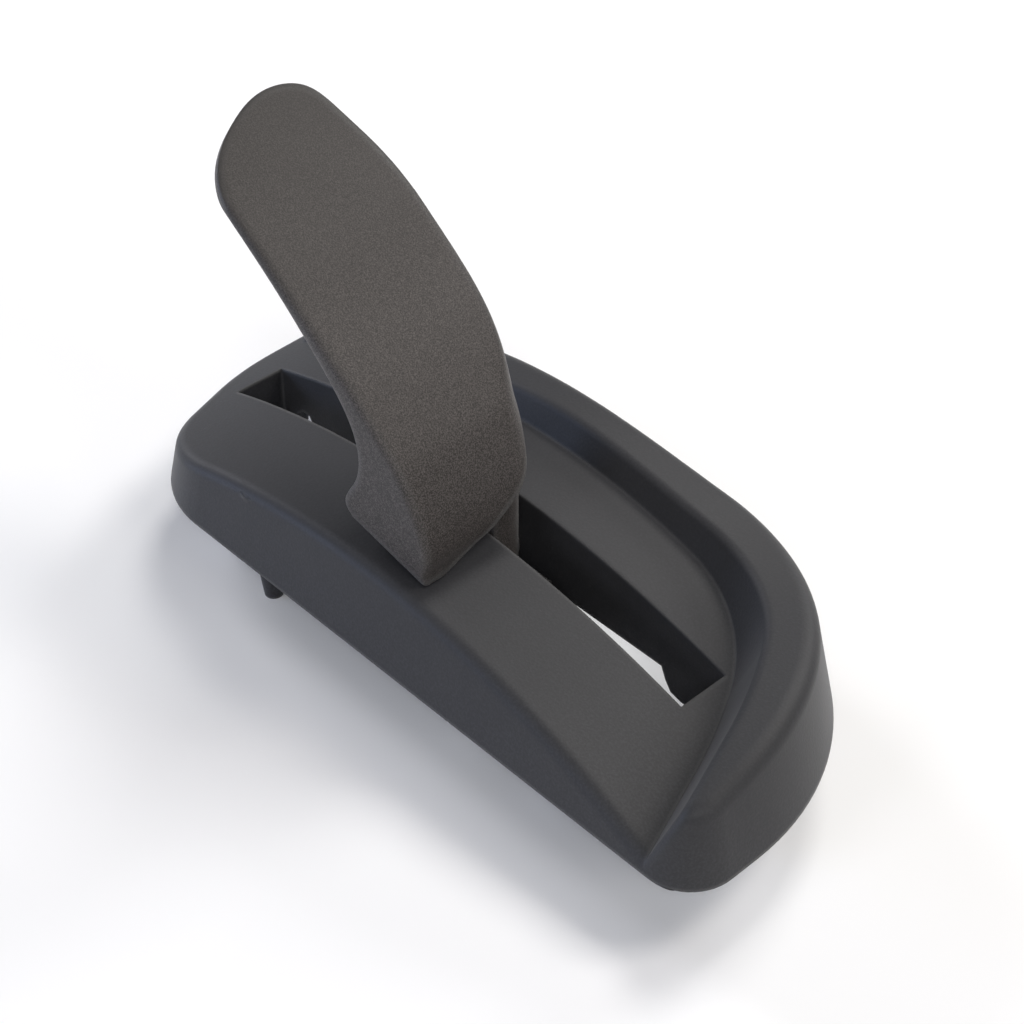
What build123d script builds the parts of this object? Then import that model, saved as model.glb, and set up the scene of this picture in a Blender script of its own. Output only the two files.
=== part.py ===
from build123d import *
from math import cos, radians, tan
import os

os.makedirs("parts", exist_ok=True)

# Bezel outline on the seating plane, X along the handle, Y across it, Z up
left_end = 54.9
right_end = 67.9
near_side = 24.3
far_side = 27.7
left_corner_x = 44.4
left_bend_y = 1.3
left_lean = 1
near_left_round = 18
left_bow_round = 40
far_left_round = 12
far_right_round = 39.5
near_right_round = 7.5
wall_draft = 12
block_height = 24
skin = 2.4

# Arched deck that the lever stands over
deck_radius = 155
deck_crown_x = 1.2
deck_top = 13.45
deck_edge_round = 2

# Raised rim round the far side and the right end, as heights at Y -32, 0 and 32
rim_reach = 32
rim_heights = [
    (-52, 1.0, 4.5, 4.0),
    (-32, 7.5, 11.0, 10.6),
    (-12, 12.5, 16.2, 16.4),
    (8, 13.5, 17.4, 17.4),
    (30, 12.0, 15.6, 15.0),
    (50, 9.5, 14.9, 14.2),
    (74, 8.3, 14.8, 13.8),
]
rim_outer_round = 2.5
rim_inner_round = 1.2
rim_root = 2.3
rim_outer_points = [(-8.2, 24.0, 17.2), (54.6, 13.7, 15.8), (65.7, -14.3, 13.0), (64.5, -20.4, 11.6)]
rim_inner_points = [(-11.8, 17.6, 16.8), (43.0, 13.9, 15.6), (56.1, -1.8, 15.0), (60.7, -14.5, 13.1)]

# Recess inside the rim, open toward the near side
recess_far_y = 10.8
recess_corner_x = 41.4
recess_corner_round = 20
recess_bend = (51.0, -4.4)
recess_bend_round = 70
recess_mouth = (65.2, -40)
recess_lean = 22

# Slot and its full-depth walls
slot_length = 94
slot_width = 8.6
slot_wall = 2.4

# Pivot
pivot_x = 2
pivot_z = 5
pin_radius = 2
running_gap = 0.05
bush_wall = 0.9
bush_flange_radius = 4.6
bush_flange = 0.8
pin_head_radius = 3.6
pin_head = 1.4
washer = 0.8
ring_thickness = 0.8
ring_radius = 3.4
ring_opening = 2.4
groove_depth = 0.4
pin_tail = 0.9
wave_washer = 0.5

# Paddle: sections across its spine as front point (X, Z), depth from front to back, far edge Y
paddle_near_y = -18.3
paddle_sections = [
    ((13.1, 11.0), 16.2, 2.0),
    ((12.9, 17.2), 16.4, 2.4),
    ((11.3, 23.3), 16.2, 3.9),
    ((8.3, 28.8), 14.8, 5.2),
    ((6.2, 31.3), 10.6, 5.9),
    ((3.8, 33.6), 6.8, 6.6),
    ((-1.2, 38.1), 3.8, 7.8),
    ((-6.6, 42.4), 2.8, 8.4),
    ((-12.2, 46.7), 2.2, 8.4),
    ((-17.8, 50.9), 1.9, 8.3),
    ((-23.6, 55.0), 1.7, 8.2),
    ((-29.4, 59.1), 1.6, 8.0),
    ((-35.2, 63.1), 1.6, 7.8),
    ((-41.0, 67.1), 1.6, 7.6),
]
paddle_far_round = 4.2
paddle_near_round = 0.8
# Tip seen square on: Y and the distance along the spine from a point (X, Z) on it
tip_station = 11
tip_origin = (-27, 57)
tip_outline = [(-18.3, -3), (-15.6, 3.8), (-10, 8.2), (-2.6, 10.5), (2.6, 8.8), (5.2, 3.2), (6.9, -3.2), (8.0, -11)]
# Lower edge seen from the front (Y, Z) and from the side (X, Z)
lower_edge = [(-18.3, 13.2), (-13.2, 14.0), (-8.8, 15.9), (-4.2, 18.3), (1.0, 21.4), (5.0, 25.5)]
foot_front = (13.1, 13.35)
foot_back = (-3.4, 17.0)

# Stem in the slot
stem_front = 10.6
stem_back = -4.6
stem_top = 22
stem_front_round = 5.5
stem_side_gap = 0.4
hub_radius = 6
hub_side_gap = bush_flange + running_gap
horn_root_z = 1
horn_rise = 2
horn_tip_x = -16.5
horn_height = 3.2
rest_horn_tip = 14.6
rest_horn_under = 0.5
rest_horn_top = 2.4

# Steel blade in the stem
blade_thickness = 2.5
blade_gap = 0.05
blade_eye = (19, 1.7)
blade_eye_radius = 2.6
eye_bore = 1.5
eye_bush_wall = 0.5
shank_half = 4
shank_top = 19
arm_slope = 1.2
dowel_radius = 1
dowel_points = [(-0.5, 13.5), (5.5, 13.5)]

# Return spring and the box below the slot that carries it
spring_x = -8
spring_radius = 2.6
spring_wire = 0.7
spring_turns = 5
spring_floor = -8
spring_bore = 3.4
box_left = -19.4
box_right = -3.6
box_bottom = -9.6
box_step = -7.4
pad_x = -14.2
pad_radius = 1.5
pad_height = 1.5
pad_stem = 1
bridge_left = 9.6
bridge_right = 15.4
bridge_top = -1.1
bridge_bottom = -4.4
rest_pad_x = 12.4
rest_pad_radius = 2.2
rest_pad_gap = 0.05

# Cable bracket under the slot, screwed to two bosses on the near side
plate_left = 15.8
plate_right = 25.2
plate_near = -21
plate_far = 3.4
plate_thickness = 1.5
plate_drop = 1.5
plate_round = 1.1
boss_places = [(20.7, -10.1), (20.7, -17.5)]
boss_radius = 3.1
screw_radius = 1.25
screw_head_radius = 2.6
screw_head = 1.4
screw_reach = 6
conduit_radius = 2.2
conduit_slit = 2
grommet_lip = 0.9
grommet_wall = 0.7

# Locating pegs and clip tongues
peg_tip = -10.4
peg_radius = 2.9
peg_draft = 8
peg_places = [(-22, -18.6), (-34, 18), (44, 15), (50, -12)]
tongue_places = [(-12, 24.2), (28, 24.2), (-37, -14.5), (35, -14.5)]
tongue_length = 9
tongue_thickness = 2
tongue_drop = 8
foot_drop = 4.2
right_foot = [(35.5, 0), (36.4, -2.1), (37.5, -3.7), (39.4, -foot_drop)]
left_foot = [(-42.3, 0), (-43.6, -1.2), (-44.2, -foot_drop)]
middle_foot = [(-40.6, 0), (-39.6, -1.6), (-34, -1.6), (-33, 0)]
clip_thickness = 0.6
clip_length = 7
clip_gap = 0.02
clip_top = -2.5
clip_barb = [(0, -7.6), (1.5, -4.2), (0.9, -3.0)]


def outline_corners():
    return [
        ((-left_corner_x, -near_side), near_left_round),
        ((right_end, -near_side), near_right_round),
        ((right_end, far_side), far_right_round),
        ((-left_end - left_lean, far_side), far_left_round),
        ((-left_end, left_bend_y), left_bow_round),
    ]


def deck_z(x):
    return deck_top - deck_radius + (deck_radius**2 - (x - deck_crown_x) ** 2) ** 0.5


# Body of the bezel below its top surfaces, shrunk by an inset for the hollow
def skirt_form(inset):
    with BuildSketch(Plane.XY) as flat:
        with BuildLine():
            Polyline(*[corner for corner, _ in outline_corners()], close=True)
        make_face()
        for corner, radius in outline_corners():
            fillet(flat.vertices().sort_by_distance(corner)[0], radius)
        if inset:
            offset(amount=-inset)
    with BuildPart() as form:
        add(flat.sketch)
        extrude(amount=block_height, taper=wall_draft)
    return form.part


# Everything below the rim's crowned top
def crown_form(drop):
    with BuildPart() as form:
        for x, near, middle, far in rim_heights:
            with BuildSketch(Plane(origin=(x, 0, -drop), x_dir=(0, 1, 0), z_dir=(1, 0, 0))):
                with BuildLine():
                    ThreePointArc((-rim_reach, near), (0, middle), (rim_reach, far))
                    Polyline((rim_reach, far), (rim_reach, -block_height), (-rim_reach, -block_height), (-rim_reach, near))
                make_face()
        loft()
    return form.part


def recess_form(grow):
    left = -2 * left_end
    with BuildPart() as form:
        with BuildSketch() as flat:
            with BuildLine():
                Polyline(
                    (left, recess_far_y),
                    (recess_corner_x, recess_far_y),
                    recess_bend,
                    recess_mouth,
                    (left, recess_mouth[1]),
                    close=True,
                )
            make_face()
            fillet(flat.vertices().sort_by_distance((recess_corner_x, recess_far_y))[0], recess_corner_round)
            fillet(flat.vertices().sort_by_distance(recess_bend)[0], recess_bend_round)
            if grow:
                offset(amount=grow)
        extrude(amount=block_height, taper=-recess_lean)
    return form.part


def nearest_edges(form, points):
    return [form.edges().sort_by_distance(point)[0] for point in points]


# Deck with its rounded edge
with BuildPart() as deck_block:
    add(skirt_form(0))
    with Locations((deck_crown_x, 0, deck_top - deck_radius)):
        Cylinder(deck_radius, 4 * near_side, rotation=(90, 0, 0), mode=Mode.INTERSECT)
    fillet(deck_block.faces().sort_by(Axis.Z)[-1].edges().filter_by(lambda edge: edge.center().Z > 0.1), deck_edge_round)

# Rim with its rounded outer and inner edges
with BuildPart() as rim_block:
    add(skirt_form(0))
    add(crown_form(0), mode=Mode.INTERSECT)
    fillet(nearest_edges(rim_block, rim_outer_points), rim_outer_round)
    add(recess_form(0), mode=Mode.SUBTRACT)
    fillet(nearest_edges(rim_block, rim_inner_points), rim_inner_round)
    with Locations((deck_crown_x, 0, deck_top - deck_radius)):
        Cylinder(deck_radius - rim_root, 4 * near_side, rotation=(90, 0, 0), mode=Mode.SUBTRACT)

with BuildPart() as hollow:
    add(skirt_form(skin))
    with Locations((deck_crown_x, 0, deck_top - deck_radius)):
        Cylinder(deck_radius - skin, 4 * near_side, rotation=(90, 0, 0), mode=Mode.INTERSECT)

with BuildPart() as rim_hollow:
    add(skirt_form(skin))
    add(crown_form(skin), mode=Mode.INTERSECT)
    add(recess_form(skin / cos(radians(recess_lean))), mode=Mode.SUBTRACT)

with BuildPart() as deck_fill:
    with BuildSketch():
        Rectangle(slot_length + 2 * slot_wall, slot_width + 2 * slot_wall)
        with Locations(*boss_places):
            Circle(boss_radius)
    extrude(amount=block_height)
    with Locations((deck_crown_x, 0, deck_top - deck_radius)):
        Cylinder(deck_radius - skin / 2, 4 * near_side, rotation=(90, 0, 0), mode=Mode.INTERSECT)

slot_half = slot_width / 2
wall_half = slot_half + slot_wall

with BuildPart() as bezel:
    add(deck_block.part)
    add(rim_block.part)
    add(hollow.part, mode=Mode.SUBTRACT)
    add(rim_hollow.part, mode=Mode.SUBTRACT)
    add(deck_fill.part)
    # Spring box and rest bridge under the slot
    with BuildSketch(Plane.XY.offset(box_bottom)):
        with Locations(((box_left + box_right) / 2, 0)):
            Rectangle(box_right - box_left, 2 * wall_half)
    extrude(amount=-box_bottom)
    with BuildSketch(Plane.XY.offset(bridge_bottom)):
        with Locations(((bridge_left + bridge_right) / 2, 0)):
            Rectangle(bridge_right - bridge_left, 2 * wall_half)
    extrude(amount=-bridge_bottom)
    # Slot with room for the horn and the spring
    with BuildSketch() as slot_plan:
        Rectangle(slot_length, slot_width)
    extrude(amount=block_height, mode=Mode.SUBTRACT)
    with BuildSketch(Plane.XY.offset(box_step)):
        with Locations(((box_left + slot_wall + box_right) / 2, 0)):
            Rectangle(box_right - box_left - slot_wall, slot_width)
    extrude(amount=-box_step, mode=Mode.SUBTRACT)
    with BuildSketch(Plane.XY.offset(bridge_top)):
        with Locations(((bridge_left + bridge_right) / 2, 0)):
            Rectangle(bridge_right - bridge_left, slot_width)
    extrude(amount=-bridge_top, mode=Mode.SUBTRACT)
    with BuildSketch(Plane.XY.offset(spring_floor)):
        with Locations((spring_x, 0)):
            Circle(spring_bore)
    extrude(amount=-spring_floor, mode=Mode.SUBTRACT)
    # Seats of the two rubber pads
    with BuildSketch(Plane.XY.offset(box_bottom)):
        with Locations((pad_x, 0)):
            Circle(pad_stem)
    extrude(amount=-box_bottom, mode=Mode.SUBTRACT)
    with BuildSketch(Plane.XY.offset(bridge_bottom)):
        with Locations((rest_pad_x, 0)):
            Circle(pad_stem)
    extrude(amount=-bridge_bottom, mode=Mode.SUBTRACT)
    # Bores for the bushes
    with Locations((pivot_x, 0, pivot_z)):
        Cylinder(pin_radius + running_gap + bush_wall, 2 * wall_half + 1, rotation=(90, 0, 0), mode=Mode.SUBTRACT)
    # Bosses reach down to the cable bracket
    with BuildSketch(Plane.XY.offset(-plate_drop)):
        with Locations(*boss_places):
            Circle(boss_radius)
    extrude(amount=plate_drop)
    with BuildSketch(Plane.XY.offset(-plate_drop)):
        with Locations(*boss_places):
            Circle(screw_radius)
    extrude(amount=plate_drop + screw_reach, mode=Mode.SUBTRACT)
    # Locating pegs with rounded tips, and tongues for the clips
    for x, y in peg_places:
        with Locations((x, y, peg_tip)):
            Cone(
                peg_radius + peg_tip * tan(radians(peg_draft)),
                peg_radius + deck_z(x) * tan(radians(peg_draft)) / 2,
                deck_z(x) - skin / 2 - peg_tip,
                align=(Align.CENTER, Align.CENTER, Align.MIN),
            )
    for x, y in tongue_places:
        with Locations((x, y, -tongue_drop)):
            Box(tongue_length, tongue_thickness, tongue_drop + deck_z(x) - skin / 2, align=(Align.CENTER, Align.CENTER, Align.MIN))
    # Feet along the bottom of the slot's far wall, and one under its left end
    slot_end = slot_length / 2 + slot_wall
    with BuildSketch(Plane.XZ.offset(-wall_half)):
        Polygon(*right_foot, (slot_end, -foot_drop), (slot_end, 0), align=None)
        Polygon(*left_foot, (-slot_end, -foot_drop), (-slot_end, 0), align=None)
        Polygon(*middle_foot, align=None)
    extrude(amount=slot_wall)
    with BuildSketch(Plane.XY.offset(-foot_drop)):
        with Locations((-slot_length / 2, 0)):
            Rectangle(slot_wall, 2 * wall_half, align=(Align.MAX, Align.CENTER))
    extrude(amount=foot_drop)
bezel.part.label = "bezel"
export_step(bezel.part, "parts/bezel.step")


# Blade outline in XZ: a shank in the stem, the pivot eye and the arm to the cable eye
def blade_outline(grow):
    eye_x, eye_z = blade_eye
    with BuildSketch() as flat:
        with BuildLine():
            Polyline(
                (pivot_x - shank_half, shank_top),
                (pivot_x - shank_half, pivot_z),
                (pivot_x, pivot_z - shank_half),
                (rest_horn_tip, pivot_z - shank_half),
                (eye_x, eye_z - blade_eye_radius),
                (eye_x, eye_z + blade_eye_radius - arm_slope),
                (pivot_x + shank_half, pivot_z + arm_slope),
                (pivot_x + shank_half, shank_top),
                close=True,
            )
        make_face()
        with Locations(blade_eye):
            Circle(blade_eye_radius)
        if grow:
            offset(amount=grow)
    return flat.sketch


def turned_sleeve(center, outer, inner, y_from, y_to):
    with BuildPart() as form:
        with BuildSketch(Plane.XZ.offset(-y_to)):
            with Locations(center):
                Circle(outer)
                if inner:
                    Circle(inner, mode=Mode.SUBTRACT)
        extrude(amount=y_to - y_from)
    return form.part


def standing_sleeve(center, outer, inner, z_from, z_to):
    with BuildPart() as form:
        with BuildSketch(Plane.XY.offset(z_from)):
            with Locations(center):
                Circle(outer)
                if inner:
                    Circle(inner, mode=Mode.SUBTRACT)
        extrude(amount=z_to - z_from)
    return form.part


pivot = (pivot_x, pivot_z)
hub_half = slot_half - hub_side_gap
stem_half = slot_half - stem_side_gap

# Paddle and stem of the lever, one moulding
spine = Spline(*[(x, 0, z) for (x, z), _, _ in paddle_sections])


def spine_plane(point):
    across = Vector(0, 1, 0)
    along = spine % spine.param_at_point((point[0], 0, point[1]))
    return Plane(origin=(point[0], 0, point[1]), x_dir=across, z_dir=along)


with BuildPart() as lever_grip:
    for point, depth, far_y in paddle_sections:
        near_round = min(paddle_near_round, 0.4 * depth)
        far_round = min(paddle_far_round, 0.46 * depth)
        with BuildSketch(spine_plane(point)) as section:
            Polygon((paddle_near_y, 0), (far_y, 0), (far_y, depth), (paddle_near_y, depth), align=None)
            for across, round_to in ((paddle_near_y, near_round), (far_y, far_round)):
                for inward in (0, depth):
                    fillet(section.vertices().sort_by_distance((across, inward))[0], round_to)
    loft()
    # Rounded tip, cut square to the paddle's face
    across = Vector(0, 1, 0)
    facing = across.cross(spine_plane(paddle_sections[tip_station][0]).z_dir)
    tip_plane = Plane(origin=(tip_origin[0], 0, tip_origin[1]), x_dir=across, z_dir=facing)
    with BuildSketch(tip_plane.offset(-left_end)):
        with BuildLine():
            tip = Spline(*tip_outline)
            Polyline(
                tip @ 1,
                (near_side, tip_outline[-1][1]),
                (near_side, -2 * left_end),
                (-near_side, -2 * left_end),
                (-near_side, tip_outline[0][1]),
                tip @ 0,
            )
        make_face()
    extrude(amount=2 * left_end, mode=Mode.INTERSECT)
    # Lower edge, rising toward the far side and toward the heel
    with BuildSketch(Plane.YZ.offset(-left_end)):
        with BuildLine():
            low = Spline(*lower_edge)
            Polyline(
                low @ 1,
                (near_side, lower_edge[-1][1]),
                (near_side, 2 * left_end),
                (-near_side, 2 * left_end),
                (-near_side, lower_edge[0][1]),
                low @ 0,
            )
        make_face()
    extrude(amount=2 * left_end, mode=Mode.INTERSECT)
    with BuildSketch(Plane.XZ.offset(-near_side)):
        Polygon(
            foot_front,
            (left_end, foot_front[1]),
            (left_end, 2 * left_end),
            (-left_end, 2 * left_end),
            (-left_end, foot_back[1]),
            foot_back,
            align=None,
        )
    extrude(amount=2 * near_side, mode=Mode.INTERSECT)
    # Stem with room for the bush flanges, then the hub and its two horns
    with BuildSketch(Plane.XY.offset(horn_root_z)) as stem_plan:
        with Locations(((stem_front + stem_back) / 2, 0)):
            Rectangle(stem_front - stem_back, 2 * stem_half)
        fillet(stem_plan.vertices().sort_by_distance((stem_front, stem_half))[0], stem_front_round)
    extrude(amount=stem_top - horn_root_z)
    for low_y in (-slot_half, hub_half):
        add(turned_sleeve(pivot, bush_flange_radius + stem_side_gap, 0, low_y, low_y + hub_side_gap), mode=Mode.SUBTRACT)
    with BuildSketch(Plane.XZ.offset(-hub_half)):
        with Locations(pivot):
            Circle(hub_radius)
        Polygon(
            (pivot_x, horn_root_z),
            (horn_tip_x, horn_root_z),
            (horn_tip_x, horn_root_z + horn_height),
            (stem_back, pivot_z + horn_rise),
            (pivot_x, pivot_z + horn_rise),
            (pivot_x, rest_horn_top),
            (rest_horn_tip, rest_horn_top),
            (rest_horn_tip, rest_horn_under),
            (pivot_x, rest_horn_under),
            align=None,
        )
    extrude(amount=2 * hub_half)
    # Pocket for the blade, pivot bore and dowel holes
    with BuildSketch(Plane.XZ.offset(-blade_thickness / 2 - blade_gap)):
        add(blade_outline(blade_gap))
    extrude(amount=blade_thickness + 2 * blade_gap, mode=Mode.SUBTRACT)
    with BuildSketch(Plane.XZ.offset(-slot_half)):
        with Locations(pivot):
            Circle(pin_radius + running_gap)
        with Locations(*dowel_points):
            Circle(dowel_radius)
    extrude(amount=slot_width, mode=Mode.SUBTRACT)
lever_grip.part.label = "lever_grip"
export_step(lever_grip.part, "parts/lever_grip.step")

with BuildPart() as lever_blade:
    with BuildSketch(Plane.XZ.offset(-blade_thickness / 2)):
        add(blade_outline(0))
        with Locations(pivot):
            Circle(pin_radius + running_gap, mode=Mode.SUBTRACT)
        with Locations(blade_eye):
            Circle(eye_bore + eye_bush_wall, mode=Mode.SUBTRACT)
        with Locations(*dowel_points):
            Circle(dowel_radius, mode=Mode.SUBTRACT)
    extrude(amount=blade_thickness)
lever_blade.part.label = "lever_blade"
export_step(lever_blade.part, "parts/lever_blade.step")

with BuildPart() as blade_dowels:
    for point in dowel_points:
        add(turned_sleeve(point, dowel_radius, 0, -stem_half, stem_half))
blade_dowels.part.label = "blade_dowels"
export_step(blade_dowels.part, "parts/blade_dowels.step")

with BuildPart() as cable_eye_bush:
    add(turned_sleeve(blade_eye, eye_bore + eye_bush_wall, eye_bore, -blade_thickness / 2, blade_thickness / 2))
cable_eye_bush.part.label = "cable_eye_bush"
export_step(cable_eye_bush.part, "parts/cable_eye_bush.step")

# Pivot pin with its head on the near side and the ring groove on the far side
head_y = -wall_half - wave_washer
groove_y = wall_half + washer
tail_y = groove_y + ring_thickness + running_gap + pin_tail
with BuildPart() as pivot_pin:
    add(turned_sleeve(pivot, pin_radius, 0, head_y, tail_y))
    add(turned_sleeve(pivot, pin_head_radius, 0, head_y - pin_head, head_y))
    add(
        turned_sleeve(pivot, pin_radius, pin_radius - groove_depth, groove_y, groove_y + ring_thickness + running_gap),
        mode=Mode.SUBTRACT,
    )
pivot_pin.part.label = "pivot_pin"
export_step(pivot_pin.part, "parts/pivot_pin.step")

with BuildPart() as wave_ring:
    add(turned_sleeve(pivot, ring_radius, pin_radius + running_gap, head_y, -wall_half))
wave_ring.part.label = "wave_washer"
export_step(wave_ring.part, "parts/wave_washer.step")

with BuildPart() as thrust_washer:
    add(turned_sleeve(pivot, pin_head_radius, pin_radius + running_gap, wall_half, groove_y))
thrust_washer.part.label = "thrust_washer"
export_step(thrust_washer.part, "parts/thrust_washer.step")

with BuildPart() as retaining_ring:
    ring_y = groove_y + running_gap
    add(turned_sleeve(pivot, ring_radius, pin_radius - groove_depth, ring_y, ring_y + ring_thickness))
    with Locations((pivot_x, ring_y + ring_thickness / 2, pivot_z - ring_radius / 2)):
        Box(ring_opening, 2 * ring_thickness, ring_radius, mode=Mode.SUBTRACT)
retaining_ring.part.label = "retaining_ring"
export_step(retaining_ring.part, "parts/retaining_ring.step")

bush_radius = pin_radius + running_gap + bush_wall
with BuildPart() as bush_near:
    add(turned_sleeve(pivot, bush_radius, pin_radius + running_gap, -wall_half, -slot_half + bush_flange))
    add(turned_sleeve(pivot, bush_flange_radius, pin_radius + running_gap, -slot_half, -slot_half + bush_flange))
bush_near.part.label = "bush_near"
export_step(bush_near.part, "parts/bush_near.step")

with BuildPart() as bush_far:
    add(turned_sleeve(pivot, bush_radius, pin_radius + running_gap, slot_half - bush_flange, wall_half))
    add(turned_sleeve(pivot, bush_flange_radius, pin_radius + running_gap, slot_half - bush_flange, slot_half))
bush_far.part.label = "bush_far"
export_step(bush_far.part, "parts/bush_far.step")

# Coil spring standing between its pocket and the horn
spring_height = horn_root_z - spring_floor - spring_wire
with BuildPart() as return_spring:
    with BuildLine(Plane.XY.offset(spring_floor + spring_wire / 2)) as coil:
        Helix(pitch=spring_height / spring_turns, height=spring_height, radius=spring_radius, center=(spring_x, 0, 0))
    with BuildSketch(Plane(origin=coil.line @ 0, z_dir=coil.line % 0)):
        RegularPolygon(spring_wire / 2, 8)
    sweep()
return_spring.part.label = "return_spring"
export_step(return_spring.part, "parts/return_spring.step")

with BuildPart() as pull_bumper:
    add(standing_sleeve((pad_x, 0), pad_radius, 0, box_step, box_step + pad_height))
    add(standing_sleeve((pad_x, 0), pad_stem, 0, box_bottom, box_step))
pull_bumper.part.label = "pull_bumper"
export_step(pull_bumper.part, "parts/pull_bumper.step")

with BuildPart() as rest_bumper:
    add(standing_sleeve((rest_pad_x, 0), rest_pad_radius, 0, bridge_top, rest_horn_under - rest_pad_gap))
    add(standing_sleeve((rest_pad_x, 0), pad_stem, 0, bridge_bottom, bridge_top))
rest_bumper.part.label = "rest_bumper"
export_step(rest_bumper.part, "parts/rest_bumper.step")

# Cable bracket, its screws and the grommet for the cable
plate_low = -plate_drop - plate_thickness
with BuildPart() as cable_bracket:
    with BuildSketch(Plane.XY.offset(plate_low)) as plate_plan:
        with Locations((plate_left, plate_near)):
            Rectangle(plate_right - plate_left, plate_far - plate_near, align=(Align.MIN, Align.MIN))
        fillet(plate_plan.vertices(), plate_round)
        with Locations(*boss_places):
            Circle(screw_radius, mode=Mode.SUBTRACT)
        with Locations((blade_eye[0], 0)):
            Circle(conduit_radius, mode=Mode.SUBTRACT)
            Rectangle(plate_right - plate_left, conduit_slit, align=(Align.MIN, Align.CENTER), mode=Mode.SUBTRACT)
    extrude(amount=plate_thickness)
cable_bracket.part.label = "cable_bracket"
export_step(cable_bracket.part, "parts/cable_bracket.step")

with BuildPart() as bracket_screws:
    for place in boss_places:
        add(standing_sleeve(place, screw_radius, 0, plate_low, screw_reach - plate_thickness))
        add(standing_sleeve(place, screw_head_radius, 0, plate_low - screw_head, plate_low))
bracket_screws.part.label = "bracket_screws"
export_step(bracket_screws.part, "parts/bracket_screws.step")

with BuildPart() as conduit_grommet:
    bore = conduit_radius - grommet_wall
    add(standing_sleeve((blade_eye[0], 0), conduit_radius, bore, plate_low, -plate_drop))
    for low in (-plate_drop, plate_low - grommet_lip / 2):
        add(standing_sleeve((blade_eye[0], 0), conduit_radius + grommet_lip, bore, low, low + grommet_lip / 2))
conduit_grommet.part.label = "conduit_grommet"
export_step(conduit_grommet.part, "parts/conduit_grommet.step")

# Sprung steel clips on the tongues
clip_half = tongue_thickness / 2 + clip_gap + clip_thickness / 2
clip_foot = -tongue_drop - clip_gap - clip_thickness / 2
clip_names = ["far_left_clip", "far_right_clip", "near_left_clip", "near_right_clip"]
for name, (x, y) in zip(clip_names, tongue_places):
    with BuildPart() as panel_clip:
        with BuildSketch(Plane(origin=(x - clip_length / 2, y, 0), x_dir=(0, 1, 0), z_dir=(1, 0, 0))):
            with BuildLine():
                Polyline((clip_half, clip_top), (clip_half, clip_foot), (-clip_half, clip_foot), (-clip_half, clip_top))
                for side in (-1, 1):
                    Polyline(*[(side * (clip_half + out), z) for out, z in clip_barb])
            trace(line_width=clip_thickness)
        extrude(amount=clip_length)
    panel_clip.part.label = name
    export_step(panel_clip.part, f"parts/{name}.step")
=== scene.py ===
"""Dresses a car seat release handle: grained plastics, steel, a coil spring, a pale studio."""

import math

import bmesh
import bpy
from mathutils import Matrix, Vector


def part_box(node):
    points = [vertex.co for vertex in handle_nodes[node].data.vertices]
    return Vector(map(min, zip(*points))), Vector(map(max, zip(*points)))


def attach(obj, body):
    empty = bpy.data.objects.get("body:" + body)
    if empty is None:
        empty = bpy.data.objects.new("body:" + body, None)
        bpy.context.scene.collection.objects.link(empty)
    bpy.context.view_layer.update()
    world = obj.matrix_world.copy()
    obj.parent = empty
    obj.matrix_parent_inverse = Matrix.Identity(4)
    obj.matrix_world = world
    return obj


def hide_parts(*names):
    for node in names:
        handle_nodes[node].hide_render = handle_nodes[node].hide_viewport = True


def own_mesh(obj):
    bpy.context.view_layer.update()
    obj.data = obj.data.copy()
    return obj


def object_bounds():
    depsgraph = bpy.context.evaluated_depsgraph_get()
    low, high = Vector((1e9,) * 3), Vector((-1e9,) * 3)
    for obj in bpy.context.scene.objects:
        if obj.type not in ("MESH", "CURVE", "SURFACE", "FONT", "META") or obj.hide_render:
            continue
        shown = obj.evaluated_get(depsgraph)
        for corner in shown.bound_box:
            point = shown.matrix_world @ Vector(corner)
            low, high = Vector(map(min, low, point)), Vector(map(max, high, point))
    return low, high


bl_info = {
    "name": "Seat Release Handle",
    "version": (1, 0, 0),
    "blender": (4, 5, 0),
    "location": "View3D > Sidebar > Handle",
    "description": "Dresses a car seat release handle and sets its studio",
    "category": "Object",
}

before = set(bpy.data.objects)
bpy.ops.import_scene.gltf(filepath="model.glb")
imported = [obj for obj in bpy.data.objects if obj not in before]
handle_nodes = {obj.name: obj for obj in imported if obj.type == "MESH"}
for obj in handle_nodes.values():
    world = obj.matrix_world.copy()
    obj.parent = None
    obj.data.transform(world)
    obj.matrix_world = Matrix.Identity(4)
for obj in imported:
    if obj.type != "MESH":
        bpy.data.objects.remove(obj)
cad_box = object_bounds()

white = "#FFFFFF"

# Below this height on the lever the grit's paler tops are painted stronger, a painted glint where
# the lamps light its middle; it fades over 20 mm. The bezel's height works the same way
lever_painted_glint_height = 0.05
bezel_painted_glint_height = 0.0
glint_fade_above = 0.012
glint_fade_below = 0.008
# Tone drifts about 45 times in a metre, once in 22 mm
flow_scale = 45.0
# The lever's grain is finer than the bezel's
lever_pitch_share = 0.55
# Width over which the bevelled normal rounds the plastics' corners, and so the width of their
# painted edge highlight
bezel_rounding = 0.0009
lever_rounding = 0.002

# Faces round the spring's wire, and along one turn of it
wire_sides = 12
turn_steps = 28

# Each soft lamp stands a metre off: name, azimuth and elevation in degrees, power in watts, colour
lamps = [
    ("Front_lamp", -41.6, 41.7, 2.7, "#FBFCFF"),
    ("Near_lamp", 270, 28, 1.6, "#F4F5FF"),
    ("Near_left_low_lamp", 225, 9, 3.0, "#BFD4FF"),
    ("Left_lamp", 180, 28, 3.2, "#F6F7FF"),
    ("Far_left_lamp", 110, 58, 3.5, "#FFFDFA"),
    ("Far_lamp", 90, 28, 3.0, white),
    ("Far_right_lamp", 50, 54, 3.0, "#FFF9F3"),
    ("Right_lamp", 0, 28, 1.8, "#FFFCF9"),
]
lamp_size = 0.32

# The patch of paper that the camera sees through the slot: its middle, its size, and the power
# and height above the paper of the lamp that lights it
pool_place = (0.021, 0.0112)
pool_size = (0.034, 0.006)
pool_power = 0.0006
pool_lift = 0.004

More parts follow.
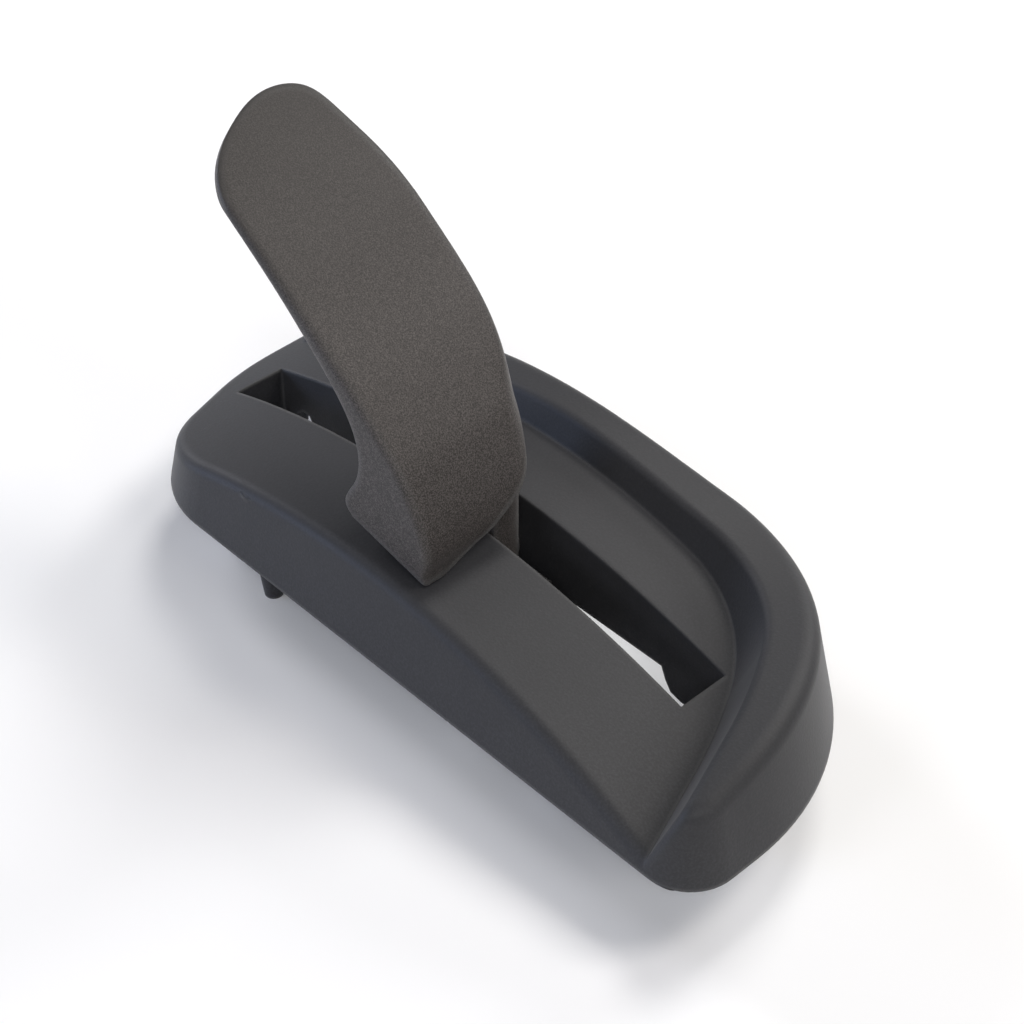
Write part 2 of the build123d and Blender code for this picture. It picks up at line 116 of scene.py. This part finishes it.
# Light from the surround: on the handle, in what mirrors or lets through, and seen by the camera
room_light = 0.01
mirrored_light = 0.25
seen_light = 1.0

# Half the floor's side, and where the paper starts and ends its way into the backdrop
floor_reach = 4.0
fade_start = 0.35
fade_end = 0.9
paper_glow = 0.03

# Worked out from the photograph: millimetres, metres and degrees
sensor_width = 36.0
camera_place = (0.1842, -0.1642, 0.2208)
camera_tilt = 49.25
camera_turn = 46.68
camera_clip = 0.01


class HandlePlastics(bpy.types.PropertyGroup):
    """Colours and grain of the moulded parts."""

    bezel_colour: bpy.props.StringProperty(
        name="Bezel colour", description="sRGB hex of the bezel's plastic", default="#2D2D2F"
    )
    lever_colour: bpy.props.StringProperty(
        name="Lever colour", description="sRGB hex of the lever's plastic", default="#272422"
    )
    # Real spark grain is 0.1 to 0.2 mm apart. It is drawn coarser on the bezel, so that it shows
    grain_pitch: bpy.props.FloatProperty(
        name="Grain pitch",
        description="Distance between the pits of the spark grain",
        default=0.00036,
        min=0.0001,
        precision=5,
        unit="LENGTH",
    )
    grain_depth: bpy.props.FloatProperty(
        name="Grain depth",
        description="Height of the spark grain",
        default=0.00003,
        min=0.0,
        precision=6,
        unit="LENGTH",
    )


class HandleHardware(bpy.types.PropertyGroup):
    """Sizes and colours of the pieces under the bezel."""

    wire: bpy.props.FloatProperty(
        name="Spring wire",
        description="Diameter of the spring's wire",
        default=0.0007,
        precision=5,
        unit="LENGTH",
    )
    turns: bpy.props.IntProperty(
        name="Spring turns", description="Turns of the spring's wire", default=7, min=4
    )
    steel_colour: bpy.props.StringProperty(
        name="Steel colour", description="sRGB hex of the zinc plating", default="#C9C8C4"
    )


class HandleStudio(bpy.types.PropertyGroup):
    """Camera, lamps and floor."""

    lens: bpy.props.FloatProperty(
        name="Lens", description="Focal length on a 36 mm sensor", default=80.0, min=10.0
    )
    floor_colour: bpy.props.StringProperty(
        name="Floor colour", description="sRGB hex of the paper floor", default="#F4F4F4"
    )
    brightness: bpy.props.FloatProperty(
        name="Brightness", description="Factor on the power of every lamp", default=1.0, min=0.0
    )


def linear(code):
    """Turns an sRGB hex colour into Blender's linear one."""
    channels = [int(code.lstrip("#")[i : i + 2], 16) / 255 for i in (0, 2, 4)]
    return [c / 12.92 if c <= 0.04045 else ((c + 0.055) / 1.055) ** 2.4 for c in channels] + [1.0]


def add_node(tree, kind, sockets=None, **settings):
    """Adds a node. A socket takes a value, or another node's output to be linked to."""
    made = tree.nodes.new(kind)
    for name, value in settings.items():
        setattr(made, name, value)
    for name, value in (sockets or {}).items():
        if isinstance(value, bpy.types.NodeSocket):
            tree.links.new(value, made.inputs[name])
        else:
            made.inputs[name].default_value = value
    return made


def new_material(name):
    """An empty material with its tree, its output and the object's own coordinates."""
    material = bpy.data.materials.new(name)
    material.use_nodes = True
    tree = material.node_tree
    tree.nodes.clear()
    output = tree.nodes.new("ShaderNodeOutputMaterial")
    place = tree.nodes.new("ShaderNodeTexCoord").outputs["Object"]
    return material, tree, output, place


def grained_plastic(name, colour, lighter, pitch, depth, roughness, rounding, painted_glint_height):
    """Plastic moulded against a spark-eroded tool: a matt grit that glints where light grazes it.

    Low on the part the grit's paler tops are painted stronger, a painted glint; higher up they are
    weaker.
    """
    material, tree, output, place = new_material(name)
    grit = add_node(
        tree,
        "ShaderNodeTexNoise",
        {"Vector": place, "Scale": 1 / pitch, "Detail": 3.0, "Roughness": 0.65},
    )
    pits = add_node(tree, "ShaderNodeTexVoronoi", {"Vector": place, "Scale": 0.8 / pitch})
    # Slow drift of tone, as the melt's flow leaves over some centimetres
    flow = add_node(
        tree, "ShaderNodeTexNoise", {"Vector": place, "Scale": flow_scale, "Detail": 2.0}
    )
    height = add_node(
        tree,
        "ShaderNodeMath",
        {0: grit.outputs["Fac"], 1: pits.outputs["Distance"]},
        operation="MULTIPLY",
    )
    # The tops of the grit are paler than its pits: grain tone, made stronger lower down as a
    # painted glint
    tops = add_node(
        tree,
        "ShaderNodeMapRange",
        {"Value": grit.outputs["Fac"], "From Min": 0.42, "From Max": 0.66},
    )
    # Painted glint: below a height the grit's paler tops are painted stronger, as if lit
    upward = add_node(tree, "ShaderNodeSeparateXYZ", {0: place})
    painted_glint_mask = add_node(
        tree,
        "ShaderNodeMapRange",
        {
            "Value": upward.outputs["Z"],
            "From Min": painted_glint_height + glint_fade_above,
            "From Max": painted_glint_height - glint_fade_below,
            "To Min": 0.35,
            "To Max": 1.0,
        },
    )
    painted_glint_tops = add_node(
        tree, "ShaderNodeMath", {0: tops.outputs[0], 1: painted_glint_mask.outputs[0]}, operation="MULTIPLY"
    )
    base = add_node(
        tree,
        "ShaderNodeMix",
        {0: painted_glint_tops.outputs[0], 6: linear(colour), 7: linear(lighter)},
        data_type="RGBA",
    )
    # Corners are painted paler, a painted highlight where their rounding catches light, patchy
    # with the tone's drift: only there does the bevelled normal leave the true one
    soft_normal = add_node(tree, "ShaderNodeBevel", {"Radius": rounding}, samples=6)
    true_normal = tree.nodes.new("ShaderNodeNewGeometry").outputs["Normal"]
    alike = add_node(
        tree,
        "ShaderNodeVectorMath",
        {0: soft_normal.outputs[0], 1: true_normal},
        operation="DOT_PRODUCT",
    )
    corner = add_node(
        tree,
        "ShaderNodeMapRange",
        {"Value": alike.outputs["Value"], "From Min": 0.995, "From Max": 0.93, "To Max": 0.5},
    )
    painted_edge_highlight = add_node(
        tree,
        "ShaderNodeMath",
        {0: corner.outputs[0], 1: flow.outputs["Fac"]},
        operation="MULTIPLY",
    )
    tone = add_node(
        tree,
        "ShaderNodeMix",
        {0: painted_edge_highlight.outputs[0], 6: base.outputs[2], 7: linear("#6E6D6C")},
        data_type="RGBA",
    )
    matt = add_node(
        tree,
        "ShaderNodeMapRange",
        {"Value": flow.outputs["Fac"], "To Min": roughness - 0.06, "To Max": roughness + 0.06},
    )
    bump = add_node(
        tree,
        "ShaderNodeBump",
        {
            "Height": height.outputs[0],
            "Normal": soft_normal.outputs[0],
            "Strength": 0.7,
            "Distance": depth,
        },
    )
    # The grit breaks up the mirror shine and glows a little at grazing angles
    shader = add_node(
        tree,
        "ShaderNodeBsdfPrincipled",
        {
            "Base Color": tone.outputs[2],
            "Roughness": matt.outputs[0],
            "Normal": bump.outputs[0],
            "IOR": 1.49,
            "Specular IOR Level": 0.32,
            "Sheen Weight": 0.12,
            "Sheen Roughness": 0.35,
        },
    )
    tree.links.new(shader.outputs[0], output.inputs["Surface"])
    return material


def plain_metal(name, colour, roughness, streak):
    """Steel whose rolling or grinding lines blur its shine."""
    material, tree, output, place = new_material(name)
    # The lines run along X, some 3 mm long and 0.25 to 0.4 mm apart. Real ones are finer, and
    # these are as coarse as they need to be to show
    lines = add_node(
        tree,
        "ShaderNodeMapping",
        {"Vector": place, "Scale": (300.0, 4000.0, 2500.0)},
        vector_type="POINT",
    )
    rolled = add_node(
        tree, "ShaderNodeTexNoise", {"Vector": lines.outputs[0], "Scale": 1.0, "Detail": 3.0}
    )
    cloud = add_node(tree, "ShaderNodeTexNoise", {"Vector": place, "Scale": 400.0, "Detail": 3.0})
    matt = add_node(
        tree,
        "ShaderNodeMapRange",
        {"Value": cloud.outputs["Fac"], "To Min": roughness - 0.08, "To Max": roughness + 0.1},
    )
    bump = add_node(
        tree,
        "ShaderNodeBump",
        {"Height": rolled.outputs["Fac"], "Strength": 0.5, "Distance": streak},
    )
    shader = add_node(
        tree,
        "ShaderNodeBsdfPrincipled",
        {
            "Base Color": linear(colour),
            "Metallic": 1.0,
            "Roughness": matt.outputs[0],
            "Normal": bump.outputs[0],
        },
    )
    tree.links.new(shader.outputs[0], output.inputs["Surface"])
    return material


def smooth_polymer(name, colour, darker, roughness, sheen):
    """Moulded acetal or rubber: an even skin with faint clouding about a millimetre wide."""
    material, tree, output, place = new_material(name)
    cloud = add_node(tree, "ShaderNodeTexNoise", {"Vector": place, "Scale": 900.0, "Detail": 3.0})
    tone = add_node(
        tree,
        "ShaderNodeMix",
        {0: cloud.outputs["Fac"], 6: linear(colour), 7: linear(darker)},
        data_type="RGBA",
    )
    bump = add_node(
        tree,
        "ShaderNodeBump",
        {"Height": cloud.outputs["Fac"], "Strength": 0.3, "Distance": 0.00002},
    )
    shader = add_node(
        tree,
        "ShaderNodeBsdfPrincipled",
        {
            "Base Color": tone.outputs[2],
            "Roughness": roughness,
            "Normal": bump.outputs[0],
            "Sheen Weight": sheen,
        },
    )
    tree.links.new(shader.outputs[0], output.inputs["Surface"])
    return material


def dress(names, material):
    """Gives CAD nodes their material."""
    for name in names:
        node = handle_nodes[name]
        node.data.materials.clear()
        node.data.materials.append(material)


class HANDLE_OT_moulded_plastics(bpy.types.Operator):
    """Grained plastic for the bezel and the lever"""

    bl_idname = "handle.moulded_plastics"
    bl_label = "Moulded plastics"

    def execute(self, context):
        values = context.scene.handle_plastics
        # Polypropylene: cool, dull and soft in its shine, with a grit just fine enough to see
        bezel = grained_plastic(
            "Spark_grained_polypropylene_bezel",
            values.bezel_colour,
            "#39393C",
            values.grain_pitch,
            values.grain_depth,
            roughness=0.55,
            rounding=bezel_rounding,
            painted_glint_height=bezel_painted_glint_height,
        )
        # Polyamide: warmer and browner, with a finer grit whose paler tops are painted stronger
        # low on the lever, a painted glint
        lever = grained_plastic(
            "Spark_grained_polyamide_lever",
            values.lever_colour,
            "#575250",
            values.grain_pitch * lever_pitch_share,
            values.grain_depth,
            roughness=0.5,
            rounding=lever_rounding,
            painted_glint_height=lever_painted_glint_height,
        )
        dress(["bezel"], bezel)
        dress(["lever_grip"], lever)
        return {"FINISHED"}


class HANDLE_OT_hardware(bpy.types.Operator):
    """Steel, acetal and rubber for the pieces under the bezel"""

    bl_idname = "handle.hardware"
    bl_label = "Hardware"

    def execute(self, context):
        values = context.scene.handle_hardware
        # Zinc plating: warm silver with a clouded, half-matt shine
        plated = plain_metal(
            "Zinc_plated_steel", values.steel_colour, roughness=0.38, streak=0.00001
        )
        dress(["lever_blade", "cable_bracket", "thrust_washer"], plated)
        # Ground steel: the brightest and sharpest shine in the handle
        ground = plain_metal("Ground_steel", "#D2D2D3", roughness=0.25, streak=0.000005)
        dress(["pivot_pin", "blade_dowels", "bracket_screws"], ground)
        # Oiled spring steel: darker and a little blue
        sprung = plain_metal("Oiled_spring_steel", "#8A8B8E", roughness=0.35, streak=0.000005)
        dress(["wave_washer", "retaining_ring", "return_spring"], sprung)
        dress(["far_left_clip", "far_right_clip", "near_left_clip", "near_right_clip"], sprung)
        # Natural acetal: creamy white with a waxy, even shine
        acetal = smooth_polymer(
            "Moulded_acetal", "#E6E4DC", "#D9D6CC", roughness=0.4, sheen=0.0
        )
        dress(["bush_near", "bush_far", "cable_eye_bush"], acetal)
        # Rubber: near black, and so matt that only its rims catch light
        rubber = smooth_polymer(
            "Moulded_rubber", "#161617", "#1E1E1F", roughness=0.7, sheen=0.1
        )
        dress(["pull_bumper", "rest_bumper", "conduit_grommet"], rubber)
        return {"FINISHED"}


def coil_spring(name, centre, radius, wire, height, turns):
    """A round-wire pressure spring with a closed turn at each end, standing on centre."""
    shape = bmesh.new()
    start = Matrix.Translation(centre + Vector((radius, 0.0, wire / 2)))
    made = bmesh.ops.create_circle(
        shape,
        cap_ends=True,
        segments=wire_sides,
        radius=wire / 2,
        matrix=start @ Matrix.Rotation(math.pi / 2, 4, "X"),
    )
    geometry = made["verts"] + list(shape.edges) + list(shape.faces)
    open_rise = (height - 3 * wire) / (turns - 2)
    for count, rise in ((1, wire), (turns - 2, open_rise), (1, wire)):
        swept = bmesh.ops.spin(
            shape,
            geom=geometry,
            cent=centre,
            axis=(0.0, 0.0, 1.0),
            dvec=(0.0, 0.0, rise / turn_steps),
            angle=count * 2 * math.pi,
            steps=count * turn_steps,
        )
        geometry = swept["geom_last"]
    bmesh.ops.recalc_face_normals(shape, faces=shape.faces)
    mesh = bpy.data.meshes.new(name)
    shape.to_mesh(mesh)
    shape.free()
    mesh.shade_smooth()
    piece = bpy.data.objects.new(name, mesh)
    bpy.context.scene.collection.objects.link(piece)
    return piece


class HANDLE_OT_spring(bpy.types.Operator):
    """Round-wire return spring"""

    bl_idname = "handle.spring"
    bl_label = "Return spring"

    def execute(self, context):
        values = context.scene.handle_hardware
        low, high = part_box("return_spring")
        centre = Vector(((low.x + high.x) / 2, (low.y + high.y) / 2, low.z))
        radius = (high.x - low.x - values.wire) / 2
        spring = coil_spring(
            "Coiled_return_spring",
            centre,
            radius,
            values.wire,
            high.z - low.z,
            values.turns,
        )
        spring.data.materials.append(handle_nodes["return_spring"].data.materials[0])
        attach(spring, "base")
        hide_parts("return_spring")
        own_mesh(spring)
        return {"FINISHED"}


def surround(scene):
    """White to the camera, dimmer in what mirrors or lets through, nearly dark on the handle."""
    world = bpy.data.worlds.new("Studio_surround")
    scene.world = world
    world.use_nodes = True
    tree = world.node_tree
    tree.nodes.clear()
    room, mirrored, seen = [
        add_node(tree, "ShaderNodeBackground", {"Color": linear(white), "Strength": strength})
        for strength in (room_light, mirrored_light, seen_light)
    ]
    path = tree.nodes.new("ShaderNodeLightPath")
    either = add_node(
        tree,
        "ShaderNodeMath",
        {0: path.outputs["Is Glossy Ray"], 1: path.outputs["Is Transmission Ray"]},
        operation="MAXIMUM",
    )
    inner = add_node(
        tree,
        "ShaderNodeMixShader",
        {0: either.outputs[0], 1: room.outputs[0], 2: mirrored.outputs[0]},
    )
    blend = add_node(
        tree,
        "ShaderNodeMixShader",
        {0: path.outputs["Is Camera Ray"], 1: inner.outputs[0], 2: seen.outputs[0]},
    )
    output = tree.nodes.new("ShaderNodeOutputWorld")
    tree.links.new(blend.outputs[0], output.inputs["Surface"])


def white_paper(colour):
    """Uncoated paper: chalky, without any shine, and a faint glow of its own to the camera."""
    material, tree, output, place = new_material("Matt_white_paper")
    paper = add_node(tree, "ShaderNodeBsdfDiffuse", {"Color": linear(colour)})
    # Past the reach of the lamps the sheet goes over into the white backdrop
    away = add_node(tree, "ShaderNodeVectorMath", {0: place}, operation="LENGTH")
    fade = add_node(
        tree,
        "ShaderNodeMapRange",
        {
            "Value": away.outputs["Value"],
            "From Min": fade_start,
            "From Max": fade_end,
            "To Min": paper_glow,
            "To Max": 1.0,
        },
    )
    glow = add_node(
        tree, "ShaderNodeEmission", {"Color": linear(white), "Strength": fade.outputs[0]}
    )
    lit = add_node(tree, "ShaderNodeAddShader", {0: paper.outputs[0], 1: glow.outputs[0]})
    path = tree.nodes.new("ShaderNodeLightPath")
    shown = add_node(
        tree,
        "ShaderNodeMixShader",
        {0: path.outputs["Is Camera Ray"], 1: paper.outputs[0], 2: lit.outputs[0]},
    )
    tree.links.new(shown.outputs[0], output.inputs["Surface"])
    return material


def paper_floor(scene, colour):
    """The sheet that the handle stands on, level with its lowest point."""
    mesh = bpy.data.meshes.new("Paper_floor")
    shape = bmesh.new()
    bmesh.ops.create_grid(shape, x_segments=1, y_segments=1, size=floor_reach)
    bmesh.ops.translate(shape, verts=shape.verts, vec=(0.0, 0.0, cad_box[0].z))
    shape.to_mesh(mesh)
    shape.free()
    floor = bpy.data.objects.new("Paper_floor", mesh)
    scene.collection.objects.link(floor)
    mesh.materials.append(white_paper(colour))


def soft_lamp(scene, name, place, aim, width, depth, power, colour):
    """A flat soft lamp that looks at a point."""
    lamp = bpy.data.lights.new(name, "AREA")
    lamp.shape = "RECTANGLE"
    lamp.size = width
    lamp.size_y = depth
    lamp.energy = power
    lamp.color = linear(colour)[:3]
    holder = bpy.data.objects.new(name, lamp)
    scene.collection.objects.link(holder)
    holder.location = place
    holder.rotation_euler = (Vector(aim) - Vector(place)).to_track_quat("-Z", "Y").to_euler()
    return holder


def studio_camera(scene, lens):
    """The camera where the photograph was taken from."""
    camera = bpy.data.cameras.new("Camera")
    camera.lens = lens
    camera.sensor_width = sensor_width
    camera.clip_start = camera_clip
    holder = bpy.data.objects.new("Camera", camera)
    scene.collection.objects.link(holder)
    holder.location = camera_place
    holder.rotation_euler = (math.radians(camera_tilt), 0.0, math.radians(camera_turn))
    scene.camera = holder


class HANDLE_OT_studio(bpy.types.Operator):
    """Pale floor, soft lamps and the camera"""

    bl_idname = "handle.studio"
    bl_label = "Studio"

    def execute(self, context):
        values = context.scene.handle_studio
        scene = context.scene
        scene.view_settings.view_transform = "Standard"
        surround(scene)
        paper_floor(scene, values.floor_colour)

        for name, azimuth, elevation, power, colour in lamps:
            around, above = math.radians(azimuth), math.radians(elevation)
            place = (
                math.cos(around) * math.cos(above),
                math.sin(around) * math.cos(above),
                math.sin(above),
            )
            watts = power * values.brightness
            soft_lamp(scene, name, place, (0.0, 0.0, 0.0), lamp_size, lamp_size, watts, colour)
        # Stands for the light that reaches the paper through the slot, which shows pale there
        above_pool = (*pool_place, cad_box[0].z + pool_lift)
        below_pool = (*pool_place, -1.0)
        pool = soft_lamp(
            scene, "Slot_pool", above_pool, below_pool, *pool_size, pool_power, white
        )
        pool.visible_camera = False

        studio_camera(scene, values.lens)
        return {"FINISHED"}


class HANDLE_PT_panel(bpy.types.Panel):
    """Lists the handle's steps in the sidebar"""

    bl_idname = "HANDLE_PT_panel"
    bl_label = "Seat Release Handle"
    bl_space_type = "VIEW_3D"
    bl_region_type = "UI"
    bl_category = "Handle"

    def draw(self, context):
        for name in groups:
            group = getattr(context.scene, name)
            box = self.layout.box()
            for key in group.bl_rna.properties.keys():
                if key not in ("rna_type", "name"):
                    box.prop(group, key)
        for step in steps:
            self.layout.operator(step.bl_idname)


groups = {
    "handle_plastics": HandlePlastics,
    "handle_hardware": HandleHardware,
    "handle_studio": HandleStudio,
}
steps = [HANDLE_OT_moulded_plastics, HANDLE_OT_hardware, HANDLE_OT_spring, HANDLE_OT_studio]


def register():
    for name, group in groups.items():
        bpy.utils.register_class(group)
        setattr(bpy.types.Scene, name, bpy.props.PointerProperty(type=group))
    for item in steps + [HANDLE_PT_panel]:
        bpy.utils.register_class(item)


def unregister():
    for item in reversed(steps + [HANDLE_PT_panel]):
        bpy.utils.unregister_class(item)
    for name, group in groups.items():
        delattr(bpy.types.Scene, name)
        bpy.utils.unregister_class(group)


def main():
    register()
    bpy.ops.handle.moulded_plastics()
    bpy.ops.handle.hardware()
    bpy.ops.handle.spring()
    bpy.ops.handle.studio()


if __name__ == "__main__":
    main()
